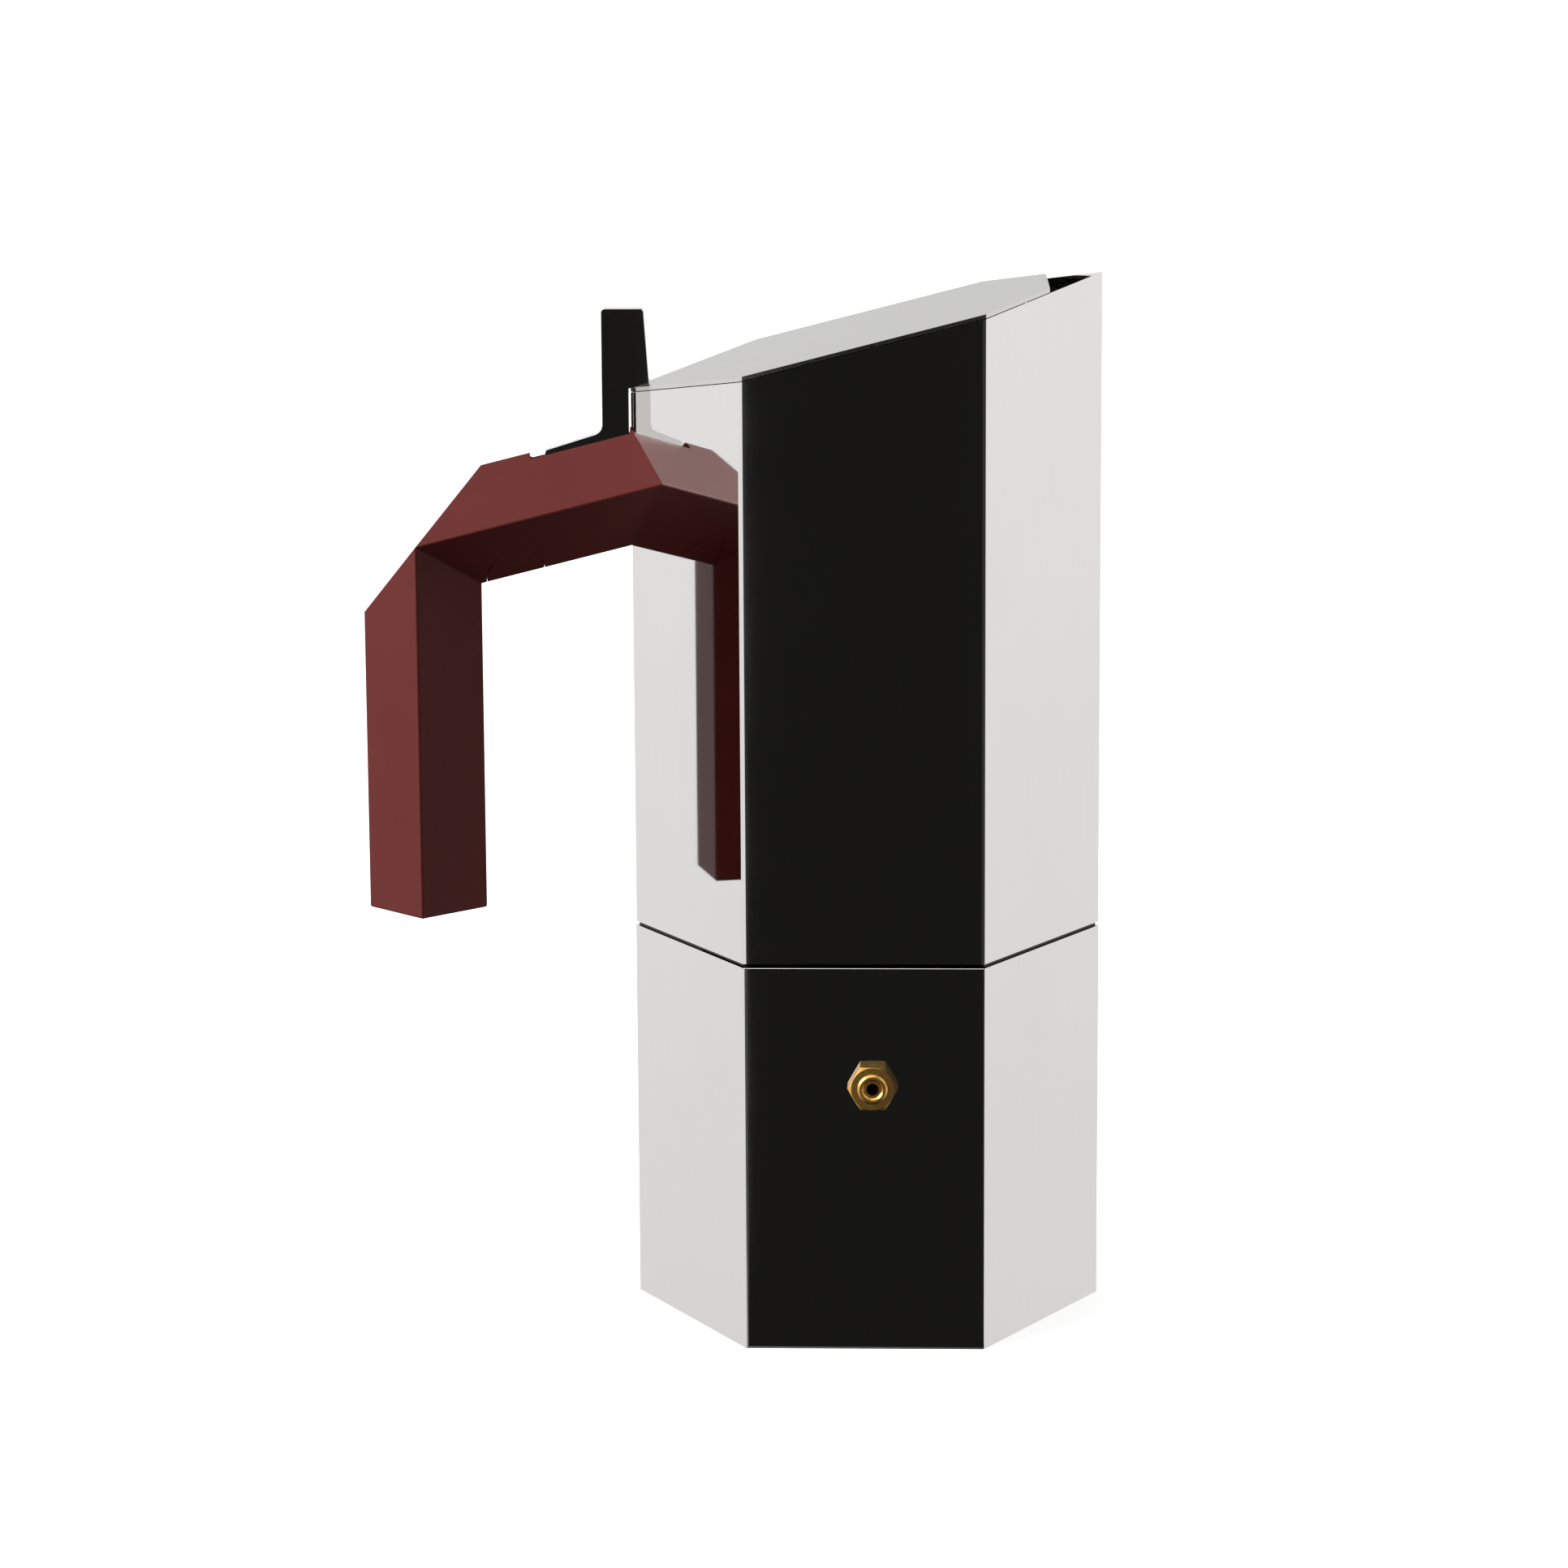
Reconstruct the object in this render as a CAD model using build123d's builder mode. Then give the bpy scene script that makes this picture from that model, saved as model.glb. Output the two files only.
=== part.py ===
from build123d import *

import os
from math import cos, radians, sin, sqrt, tan

# A hexagonal stove-top coffee maker: a boiler, a jug that screws onto it, a flat lid on the
# jug's slanted rim, a thumb lever that opens the lid, and a bar handle.
#
# +Z is up and the origin is the middle of the boiler's base. +X points to the spout and -X to
# the handle. The front face, which carries the safety valve, looks along -Y.
# Lengths are in millimetres and angles in degrees.

# ---------------------------------------------------------------- outer shape
hex_side = 55.0          # side of the hexagon, so also the distance from the axis to a corner
boiler_corner_radius = 0.5
jug_corner_radius = 1.2  # the lid's corners are the same
edge_break = 0.08        # bevel on the boiler's and the jug's lower and upper edges
boiler_height = 90.0     # base to the boiler's top face
seam_gap = 0.9           # shadow line between the boiler and the jug
seam_depth = 0.6         # shadow line's depth, back to the land under the jug
seam_clearance = 0.1     # land above the boiler's top face
jug_height = 139.7       # jug's lower edge to its rim, on the axis
rim_slope = 14.2         # slope of the rim, the lid and the handle's bar

# ---------------------------------------------------------------- boiler
boiler_wall = 4.6        # at the middle of a side
boiler_floor = 3.5
shoulder_drop = 8.0      # top face down to where the cavity starts to narrow
neck_step = 8.7          # middle of a side in to the threaded neck
neck_wall = 2.9
neck_length = 11.5
thread_depth = 1.2       # radial room for the thread between neck and jug
thread_run_out = 0.7     # jug's thread bore above the top of the neck

# ---------------------------------------------------------------- safety valve
valve_offset = 2.0       # valve's axis from the middle of the front face
valve_height = 62.6
valve_hexagon = 10.0     # across flats
valve_head = 3.5         # how far the hexagon stands off the face
valve_flat_radius = 4.9  # round flat left on the hexagon's front
valve_bevel_angle = 25
shank_radius = 4.0
shank_reach = 6.2        # face to the shank's inner end
chamber_radius = 3.0
seat_thickness = 1.5
seat_hole_radius = 1.5
bush_collar_radius = 3.45
bush_collar = 0.8
bush_bevel = 0.45
bush_mouth_radius = 2.45
bush_length = 3.6
plunger_radius = 1.93
plunger_clearance = 0.07
plunger_flange_radius = 2.6
plunger_flange = 1.0
plunger_stem_radius = 1.2
plunger_button = 3.7
plunger_recess = 0.6     # button's end below the collar's front
plunger_hole_radius = 1.4
plunger_hole_depth = 3.0
seat_gap = 0.05
spring_wire_radius = 0.25
spring_radius = 2.35     # middle of the wire
spring_turns = 3
washer_radius = 4.8      # hidden under the hexagon
washer_thickness = 0.8

# ---------------------------------------------------------------- funnel, gasket, filter
funnel_gap = 0.6         # basket in the neck
funnel_metal = 0.8
funnel_rim_inset = 0.5   # rim's edge inside the neck's edge
basket_depth = 22.0
basket_cone = 3.0
basket_ledge = 1.5       # flat ring that the sieve lies on
basket_hub_radius = 9.0
stem_radius = 5.0
stem_wall = 0.8
stem_flange_radius = 7.0
stem_flange = 0.6
stem_clearance = 3.0     # stem's end above the boiler's floor
sieve_thickness = 0.6
sieve_gap = 0.1
gasket_thickness = 2.8
gasket_width = 7.3
gasket_gap = 0.3         # gasket's edge in its pocket
filter_thickness = 0.5

# ---------------------------------------------------------------- jug and riser
jug_wall = 2.2
jug_floor = 5.0
rim_edge = 0.25          # thin pouring edge left at the rim
rim_taper = 9.0          # wall thins inside over this depth below the rim
flow_recess = 2.0        # cone under the jug's floor, from the filter up to the riser
flow_margin = 2.4        # ring of jug floor that the filter plate bears on, inside the gasket
riser_height = 58.0      # above the jug's floor
riser_foot_radius = 6.5
riser_collar_radius = 9.0
riser_collar = 1.5
riser_base_radius = 7.0
riser_top_radius = 5.0
riser_bore_radius = 3.2
riser_outlet_radius = 2.0
riser_outlet_drop = 5.0  # outlets below the riser's top
cap_thickness = 1.2
cap_skirt = 3.0

# ---------------------------------------------------------------- handle
bar_half = 14.1          # middle of the bar to its ridge, and the same across the grip
bar_half_depth = 14.5    # middle of the bar to its side edge
bar_edge_radius = 0.5
bar_drop = 21.9          # rim down to the middle of the bar, at the corner of the jug
grip_reach = 49.3        # corner of the jug out to the middle of the grip
grip_length = 88.1       # elbow's middle down to the end of the grip
elbow_cut_angle = 51.0   # flat across the outside of the elbow
handle_wall = 2.0
lug_clearance = 0.15
lug_reach = 33.0         # corner out to the end of the jug's lug
lug_below = 2.75         # lug's flat underside below the middle of the bar

# ---------------------------------------------------------------- lever slot, pivot and pin
lever_thickness = 3.0
slot_width = 3.3
slot_corner_radius = 0.8
slot_reach = 23.6        # corner out to the end of the slot
slot_floor_drop = 1.35   # slot's floor below the middle of the bar
pivot_reach = 12.5       # corner out to the pivot
pivot_depth = 7.5        # pivot below the bar's ridge
pin_radius = 1.0
pin_inset = 0.2          # pin's ends under the lug's sides
pin_clearance = 0.05
knuckle_radius = 3.0

# ---------------------------------------------------------------- lid and lever
lid_gap = 0.2
lid_thickness = 0.9
lid_corner_radius = 0.6
spout_opening = 12.8     # corner of the spout back to the lid's square end
blade_inside = 4.6       # foot of the blade over the lid, from the jug's corner
blade_top_inside = 3.4   # top of the blade, from the jug's corner
blade_outside = 6.5      # blade over the handle, from the jug's corner
blade_rise = 19.7        # top of the blade above the rim, at the corner
blade_corner_radius = 1.0
lever_standoff = 0.15    # lever's back edge to the jug's corner
lever_bevel = 0.1
tail_reach = 20.5        # corner out to the end of the tail
tail_sink = 0.4          # end of the tail's top edge under the handle's ridge
tail_slope = 17.3
tail_depth = 2.7
tail_lean = 0.8
tail_radius = 0.9
heel_radius = 2.4        # between the tail's top edge and the blade
arm_depth = 5.2          # arm at the jug's corner, below the handle's ridge

# ---------------------------------------------------------------- handle screw and plug
screw_reach = 27.3       # corner out to the screw's axis
screw_radius = 2.0
screw_clearance = 0.25
screw_head_radius = 3.8
screw_head = 2.4
screw_socket_side = 1.5
screw_socket_depth = 1.3
screw_grip = 9.0         # thread in the lug
handle_washer_radius = 4.2
handle_washer_thickness = 0.7
plug_radius = 6.9
plug_gap = 0.2
plug_depth = 8.2         # plug's inner face above the bar's lower ridge
plug_band = 1.0          # snug band at the plug's inner end
plug_hollow_radius = 4.5
plug_hollow_gap = 0.4

# ---------------------------------------------------------------- places worked out from them
flat_radius = hex_side * cos(radians(30))
bore_radius = flat_radius - boiler_wall
neck_radius = flat_radius - neck_step
neck_bore_radius = neck_radius - neck_wall
neck_top = boiler_height + neck_length
jug_bottom = boiler_height + seam_gap
land_bottom = boiler_height + seam_clearance
rim_height = jug_bottom + jug_height
funnel_top = neck_top + funnel_metal
gasket_top = funnel_top + gasket_thickness
seat_height = gasket_top + filter_thickness
floor_top = seat_height + jug_floor
slope = tan(radians(rim_slope))
corner_x = -hex_side
pivot_x = corner_x - pivot_reach
screw_x = corner_x - screw_reach
grip_x = corner_x - grip_reach


def rim_z(x):
    """Height of the jug's rim at x."""
    return rim_height + slope * x


def bar_z(x):
    """Height of the middle of the handle's bar at x."""
    return rim_z(corner_x) - bar_drop + slope * (x - corner_x)


def ridge_z(x):
    """Height of the bar's upper ridge at x."""
    return bar_z(x) + bar_half


def keel_z(x):
    """Height of the bar's lower ridge at x."""
    return bar_z(x) - bar_half


pivot_z = ridge_z(pivot_x) - pivot_depth
plug_top = keel_z(screw_x) + plug_depth

rim_normal = Vector(-sin(radians(rim_slope)), 0, cos(radians(rim_slope)))
rim_x = Vector(cos(radians(rim_slope)), 0, sin(radians(rim_slope)))
rim_plane = Plane(origin=(0, 0, rim_height), x_dir=rim_x, z_dir=rim_normal)
bar_direction = Vector(-cos(radians(rim_slope)), 0, -sin(radians(rim_slope)))
valve_origin = (valve_offset, -flat_radius, valve_height)
valve_face = Plane(origin=valve_origin, x_dir=(1, 0, 0), z_dir=(0, -1, 0))
valve_section = Plane(origin=valve_origin, x_dir=(-1, 0, 0), z_dir=(0, 0, 1))
valve_axis = Axis(valve_origin, (0, -1, 0))


# ---------------------------------------------------------------- shapes used more than once
def hexagon(side, radius):
    """The pot's outline with its rounded corners, on the current sketch."""
    outline = RegularPolygon(side, 6)
    fillet(outline.vertices(), radius)


def slanted_hexagon(side):
    """The outline that a plane parallel to the rim cuts from an upright hexagonal bore."""
    stretch = 1 / cos(radians(rim_slope))
    turns = [radians(turn) for turn in range(0, 360, 60)]
    Polygon(*[(side * stretch * cos(turn), side * sin(turn)) for turn in turns], align=None)


def bar_section(inset):
    """Corners of the bar's diamond, moved in by a wall: side, top, side and bottom."""
    apothem = bar_half * bar_half_depth / sqrt(bar_half**2 + bar_half_depth**2)
    shrink = 1 - inset / apothem
    side = bar_half_depth * shrink
    top = bar_half * shrink
    return [(side, 0), (0, top), (-side, 0), (0, -top)]


def extrude_bar(inset, start_x, end_x, flat_below=None, mode=Mode.ADD, edge_radius=0.0):
    """A length of the bar along its slope, with its section upright in the YZ plane."""
    section = Plane(origin=(start_x, 0, bar_z(start_x)), x_dir=(0, 1, 0), z_dir=(1, 0, 0))
    with BuildSketch(section) as profile:
        with BuildLine():
            Polyline(*bar_section(inset), close=True)
        diamond = make_face()
        if edge_radius:
            fillet(diamond.vertices(), edge_radius)
        if flat_below is not None:
            with Locations((0, -flat_below - bar_half)):
                Rectangle(3 * bar_half_depth, 2 * bar_half, mode=Mode.SUBTRACT)
    length = (start_x - end_x) / cos(radians(rim_slope))
    extrude(profile.sketch, amount=length, dir=bar_direction, mode=mode)


def turned(points, section=Plane.XZ, axis=Axis.Z):
    """A piece turned about an axis, from the (radius, height) points of its half profile."""
    with BuildPart() as piece:
        with BuildSketch(section):
            with BuildLine():
                Polyline(*points, close=True)
            make_face()
        revolve(axis=axis)
    return piece


# The pin ends just inside the lug, at the height where the lug is narrowest over the pin.
lug_wall = handle_wall + lug_clearance
lug_side, lug_top = bar_section(lug_wall)[0][0], bar_section(lug_wall)[1][1]
pin_top = bar_half - pivot_depth + pin_radius
pin_length = 2 * (lug_side * (1 - pin_top / lug_top) - pin_inset)

# ---------------------------------------------------------------- slot shared by lug and handle
slot_end_x = corner_x - slot_reach
slot_top = ridge_z(corner_x) + bar_half
slot_floor_end = bar_z(slot_end_x) - slot_floor_drop
slot_floor_corner = bar_z(corner_x) - slot_floor_drop
with BuildPart() as lever_slot:
    with BuildSketch(Plane.XZ):
        with BuildLine():
            Polyline(
                (slot_end_x, slot_floor_end),
                (corner_x, slot_floor_corner),
                (corner_x, slot_top),
                (slot_end_x, slot_top),
                close=True,
            )
        make_face()
    extrude(amount=slot_width / 2, both=True)
    slot_ends = lever_slot.faces().sort_by(Axis.X)[0].edges().filter_by(Axis.Z)
    fillet(slot_ends, slot_corner_radius)


# ---------------------------------------------------------------- boiler
with BuildPart() as boiler:
    with BuildSketch():
        hexagon(hex_side, boiler_corner_radius)
    extrude(amount=boiler_height)
    chamfer(boiler.faces().sort_by(Axis.Z)[-1].edges(), edge_break)
    chamfer(boiler.faces().sort_by(Axis.Z)[0].edges(), edge_break)
    with BuildSketch(Plane.XY.offset(boiler_height)):
        Circle(neck_radius)
    extrude(amount=neck_length)
    cavity_cone = boiler_height - shoulder_drop
    with BuildSketch(Plane.XZ):
        with BuildLine():
            Polyline(
                (0, boiler_floor),
                (bore_radius, boiler_floor),
                (bore_radius, cavity_cone),
                (neck_bore_radius, cavity_cone + bore_radius - neck_bore_radius),
                (neck_bore_radius, neck_top),
                (0, neck_top),
                close=True,
            )
        make_face()
    revolve(axis=Axis.Z, mode=Mode.SUBTRACT)
    with BuildSketch(valve_face):
        Circle(shank_radius)
    extrude(amount=-2 * boiler_wall, mode=Mode.SUBTRACT)
    with BuildSketch(valve_face):
        Circle(washer_radius)
    extrude(amount=-washer_thickness, mode=Mode.SUBTRACT)

# ---------------------------------------------------------------- safety valve
valve_front = valve_head + bush_collar
valve_bevel_depth = (valve_hexagon - valve_flat_radius) * tan(radians(valve_bevel_angle))
with BuildPart() as valve_body:
    with BuildSketch(valve_face):
        RegularPolygon(valve_hexagon / 2, 6, major_radius=False)
    extrude(amount=valve_head)
    # The front corners are turned off, as on a nut.
    with BuildSketch(valve_section):
        with BuildLine():
            Polyline(
                (valve_flat_radius, valve_head),
                (valve_hexagon, valve_head),
                (valve_hexagon, valve_head - valve_bevel_depth),
                close=True,
            )
        make_face()
    revolve(axis=valve_axis, mode=Mode.SUBTRACT)
    with BuildSketch(valve_face):
        Circle(shank_radius)
    extrude(amount=-shank_reach)
    with BuildSketch(valve_face.offset(seat_thickness - shank_reach)):
        Circle(chamber_radius)
    extrude(amount=shank_reach + valve_head, mode=Mode.SUBTRACT)
    with BuildSketch(valve_face.offset(-shank_reach)):
        Circle(seat_hole_radius)
    extrude(amount=seat_thickness, mode=Mode.SUBTRACT)

with BuildPart() as valve_washer:
    with BuildSketch(valve_face):
        Circle(washer_radius)
        Circle(shank_radius, mode=Mode.SUBTRACT)
    extrude(amount=-washer_thickness)

bush_bore_radius = plunger_radius + plunger_clearance
bush_back = valve_head - bush_length
mouth_depth = bush_mouth_radius - bush_bore_radius
valve_bush = turned(
    [
        (bush_bore_radius, bush_back),
        (chamber_radius, bush_back),
        (chamber_radius, valve_head),
        (bush_collar_radius, valve_head),
        (bush_collar_radius, valve_front - bush_bevel),
        (bush_collar_radius - bush_bevel, valve_front),
        (bush_mouth_radius, valve_front),
        (bush_bore_radius, valve_front - mouth_depth),
    ],
    valve_section,
    valve_axis,
)

flange_back = seat_thickness - shank_reach + seat_gap
flange_front = flange_back + plunger_flange
button_front = valve_front - plunger_recess
valve_plunger = turned(
    [
        (0, flange_back),
        (plunger_flange_radius, flange_back),
        (plunger_flange_radius, flange_front),
        (plunger_stem_radius, flange_front),
        (plunger_stem_radius, button_front - plunger_button),
        (plunger_radius, button_front - plunger_button),
        (plunger_radius, button_front),
        (plunger_hole_radius, button_front),
        (plunger_hole_radius, button_front - plunger_hole_depth),
        (0, button_front - plunger_hole_depth),
    ],
    valve_section,
    valve_axis,
)

spring_start = flange_front + spring_wire_radius
spring_length = bush_back - flange_front - 2 * spring_wire_radius
with BuildPart() as valve_spring:
    with BuildLine() as coil:
        Helix(
            spring_length / spring_turns,
            spring_length,
            spring_radius,
            center=valve_face.offset(spring_start).origin,
            direction=valve_face.z_dir,
        )
    with BuildSketch(Plane(origin=coil.line @ 0, z_dir=coil.line % 0)):
        Circle(spring_wire_radius)
    sweep(is_frenet=True)

# ---------------------------------------------------------------- funnel, sieve, gasket, filter
basket_radius = neck_bore_radius - funnel_gap
basket_inner = basket_radius - funnel_metal
basket_floor = funnel_top - basket_depth
hub_floor = basket_floor - basket_cone
funnel_basket = turned(
    [
        (stem_radius, hub_floor),
        (basket_hub_radius, hub_floor),
        (basket_inner - basket_ledge, basket_floor),
        (basket_radius, basket_floor),
        (basket_radius, neck_top),
        (neck_radius - funnel_rim_inset, neck_top),
        (neck_radius - funnel_rim_inset, funnel_top),
        (basket_inner, funnel_top),
        (basket_inner, basket_floor + funnel_metal),
        (basket_inner - basket_ledge, basket_floor + funnel_metal),
        (basket_hub_radius, hub_floor + funnel_metal),
        (stem_radius, hub_floor + funnel_metal),
    ]
)

stem_bottom = boiler_floor + stem_clearance
stem_top = hub_floor + funnel_metal + stem_flange
stem_bore_radius = stem_radius - stem_wall
funnel_stem = turned(
    [
        (stem_bore_radius, stem_bottom),
        (stem_radius, stem_bottom),
        (stem_radius, stem_top - stem_flange),
        (stem_flange_radius, stem_top - stem_flange),
        (stem_flange_radius, stem_top),
        (stem_bore_radius, stem_top),
    ]
)

sieve_bottom = basket_floor + funnel_metal
with BuildPart() as funnel_sieve:
    with BuildSketch(Plane.XY.offset(sieve_bottom)):
        Circle(basket_inner - sieve_gap)
    extrude(amount=sieve_thickness)

gasket_radius = neck_radius - funnel_rim_inset
gasket_inner = gasket_radius - gasket_width
with BuildPart() as gasket:
    with BuildSketch(Plane.XY.offset(funnel_top)):
        Circle(gasket_radius)
        Circle(gasket_inner, mode=Mode.SUBTRACT)
    extrude(amount=gasket_thickness)

with BuildPart() as filter_plate:
    with BuildSketch(Plane.XY.offset(gasket_top)):
        Circle(gasket_radius)
    extrude(amount=filter_thickness)

# ---------------------------------------------------------------- jug
skirt_radius = neck_radius + thread_depth
pocket_radius = gasket_radius + gasket_gap
pocket_bottom = neck_top + thread_run_out
inner_side = hex_side - jug_wall / cos(radians(30))
lug_end_x = corner_x - lug_reach
screw_bottom = bar_z(screw_x) - lug_below
with BuildPart() as collector:
    extrude_bar(lug_wall, corner_x + bar_half_depth / 2, lug_end_x, flat_below=lug_below)
    add(lever_slot.part, mode=Mode.SUBTRACT)
    with Locations((pivot_x, 0, pivot_z)):
        Cylinder(pin_radius, pin_length, rotation=(90, 0, 0), mode=Mode.SUBTRACT)
    with BuildSketch(Plane.XY.offset(screw_bottom - lug_below)):
        with Locations((screw_x, 0)):
            Circle(screw_radius)
    extrude(amount=lug_below + screw_grip, mode=Mode.SUBTRACT)
    with BuildSketch(Plane.XY.offset(jug_bottom)):
        hexagon(hex_side, jug_corner_radius)
    extrude(amount=rim_z(hex_side) - jug_bottom)
    split(bisect_by=rim_plane, keep=Keep.BOTTOM)
    chamfer(collector.faces().sort_by(Axis.Z)[0].edges(), edge_break)
    with BuildSketch(Plane.XY.offset(land_bottom)):
        hexagon(hex_side - seam_depth / cos(radians(30)), jug_corner_radius)
    extrude(amount=jug_bottom - land_bottom)
    with BuildSketch(Plane.XY.offset(floor_top)):
        RegularPolygon(inner_side, 6)
    extrude(amount=rim_z(hex_side) - floor_top, mode=Mode.SUBTRACT)
    with BuildSketch(Plane.XZ):
        with BuildLine():
            Polyline(
                (0, land_bottom),
                (skirt_radius, land_bottom),
                (skirt_radius, pocket_bottom),
                (pocket_radius, pocket_bottom),
                (pocket_radius, seat_height),
                (gasket_inner - flow_margin, seat_height),
                (riser_base_radius, seat_height + flow_recess),
                (0, seat_height + flow_recess),
                close=True,
            )
        make_face()
    revolve(axis=Axis.Z, mode=Mode.SUBTRACT)
    with BuildSketch(Plane.XY.offset(seat_height)):
        Circle(riser_foot_radius)
    extrude(amount=jug_floor, mode=Mode.SUBTRACT)
    with BuildSketch(rim_plane.offset(-rim_taper)):
        slanted_hexagon(inner_side)
    with BuildSketch(rim_plane):
        slanted_hexagon(hex_side - rim_edge / cos(radians(30)))
    loft(mode=Mode.SUBTRACT)

riser_top = floor_top + riser_height
riser_column = turned(
    [
        (riser_bore_radius, seat_height + flow_recess),
        (riser_foot_radius, seat_height + flow_recess),
        (riser_foot_radius, floor_top),
        (riser_collar_radius, floor_top),
        (riser_collar_radius, floor_top + riser_collar),
        (riser_base_radius, floor_top + riser_collar),
        (riser_top_radius, riser_top),
        (riser_bore_radius, riser_top),
    ]
)
with riser_column:
    with Locations((0, 0, riser_top - riser_outlet_drop)):
        Cylinder(riser_outlet_radius, 4 * riser_top_radius, rotation=(90, 0, 0), mode=Mode.SUBTRACT)

riser_cap = turned(
    [
        (0, riser_top - cap_skirt),
        (riser_bore_radius, riser_top - cap_skirt),
        (riser_bore_radius, riser_top),
        (riser_top_radius, riser_top),
        (riser_top_radius - cap_thickness, riser_top + cap_thickness),
        (0, riser_top + 2 * cap_thickness),
    ]
)

# ---------------------------------------------------------------- handle
elbow_z = bar_z(grip_x)
grip_bottom = elbow_z - grip_length
mitre_normal = Vector(-(slope - 1), 0, 1).normalized()
mitre = Plane(origin=(grip_x, 0, elbow_z), x_dir=(0, 1, 0), z_dir=mitre_normal)
elbow_cut = radians(elbow_cut_angle)
elbow_plane = Plane(
    origin=(grip_x, 0, elbow_z), x_dir=(0, 1, 0), z_dir=(-sin(elbow_cut), 0, cos(elbow_cut))
)
with BuildPart() as grip:
    with BuildSketch(Plane.XY.offset(grip_bottom)):
        with BuildLine():
            Polyline(
                (grip_x + bar_half, 0),
                (grip_x, bar_half_depth),
                (grip_x - bar_half, 0),
                (grip_x, -bar_half_depth),
                close=True,
            )
        make_face()
    extrude(amount=grip_length + 2 * bar_half)
    split(bisect_by=mitre, keep=Keep.BOTTOM)

bar_end_x = corner_x + 2 * bar_half_depth
with BuildPart() as handle:
    extrude_bar(0, bar_end_x, grip_x - 2 * bar_half)
    split(bisect_by=mitre, keep=Keep.TOP)
    add(grip.part)
    split(bisect_by=elbow_plane, keep=Keep.BOTTOM)
    # Every edge is rounded except those of the end that is cut away inside the jug.
    outer_edges = handle.edges().filter_by(lambda edge: edge.center().X < bar_end_x - edge_break)
    fillet(outer_edges, bar_edge_radius)
    with BuildSketch(Plane.XY.offset(jug_bottom)):
        hexagon(hex_side, jug_corner_radius)
    extrude(amount=jug_height, mode=Mode.SUBTRACT)
    extrude_bar(
        handle_wall,
        corner_x + bar_half_depth,
        lug_end_x - lug_clearance,
        flat_below=lug_below + lug_clearance,
        mode=Mode.SUBTRACT,
    )
    add(lever_slot.part, mode=Mode.SUBTRACT)
    with BuildSketch(Plane.XY.offset(keel_z(screw_x) - bar_half)):
        with Locations((screw_x, 0)):
            Circle(plug_radius)
    extrude(amount=bar_half + plug_depth, mode=Mode.SUBTRACT)
    with BuildSketch(Plane.XY.offset(plug_top)):
        with Locations((screw_x, 0)):
            Circle(screw_radius + screw_clearance)
    extrude(amount=bar_half / 2, mode=Mode.SUBTRACT)

# ---------------------------------------------------------------- handle screw, washer, plug
washer_bottom = plug_top - handle_washer_thickness
head_bottom = washer_bottom - screw_head
with BuildPart() as handle_washer:
    with BuildSketch(Plane.XY.offset(washer_bottom)):
        with Locations((screw_x, 0)):
            Circle(handle_washer_radius)
            Circle(screw_radius, mode=Mode.SUBTRACT)
    extrude(amount=handle_washer_thickness)

with BuildPart() as handle_screw:
    with BuildSketch(Plane.XY.offset(head_bottom)):
        with Locations((screw_x, 0)):
            Circle(screw_head_radius)
    extrude(amount=screw_head)
    with BuildSketch(Plane.XY.offset(washer_bottom)):
        with Locations((screw_x, 0)):
            Circle(screw_radius)
    extrude(amount=screw_bottom + screw_grip - washer_bottom)
    with BuildSketch(Plane.XY.offset(head_bottom)):
        with Locations((screw_x, 0)):
            RegularPolygon(screw_socket_side, 6)
    extrude(amount=screw_socket_depth, mode=Mode.SUBTRACT)

with BuildPart() as handle_plug:
    with BuildSketch(Plane.XY.offset(keel_z(screw_x) - bar_half)):
        with Locations((screw_x, 0)):
            Circle(plug_radius - plug_gap)
    extrude(amount=bar_half + plug_depth)
    with BuildSketch(Plane.XY.offset(plug_top - plug_band)):
        with Locations((screw_x, 0)):
            Circle(plug_radius)
    extrude(amount=plug_band)
    extrude_bar(
        0,
        screw_x + 2 * plug_radius,
        screw_x - 2 * plug_radius,
        mode=Mode.INTERSECT,
        edge_radius=bar_edge_radius,
    )
    with BuildSketch(Plane.XY.offset(head_bottom - plug_hollow_gap)):
        with Locations((screw_x, 0)):
            Circle(plug_hollow_radius)
    extrude(amount=bar_half, mode=Mode.SUBTRACT)

# ---------------------------------------------------------------- lid
lid_bottom_plane = rim_plane.offset(lid_gap)
lid_top_plane = rim_plane.offset(lid_gap + lid_thickness)
lid_lift = (lid_gap + lid_thickness) / cos(radians(rim_slope))
lid_end_x = hex_side - spout_opening
with BuildPart() as lid:
    with BuildSketch(Plane.XY.offset(rim_z(-hex_side) - hex_side)):
        hexagon(hex_side, jug_corner_radius)
        with Locations((lid_end_x + hex_side, 0)):
            Rectangle(2 * hex_side, 2 * hex_side, mode=Mode.SUBTRACT)
    extrude(amount=4 * hex_side)
    end_edges = lid.faces().sort_by(Axis.X)[-1].edges().filter_by(Axis.Z)
    fillet(end_edges, lid_corner_radius)
    split(bisect_by=lid_top_plane, keep=Keep.BOTTOM)
    split(bisect_by=lid_bottom_plane, keep=Keep.TOP)

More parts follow.
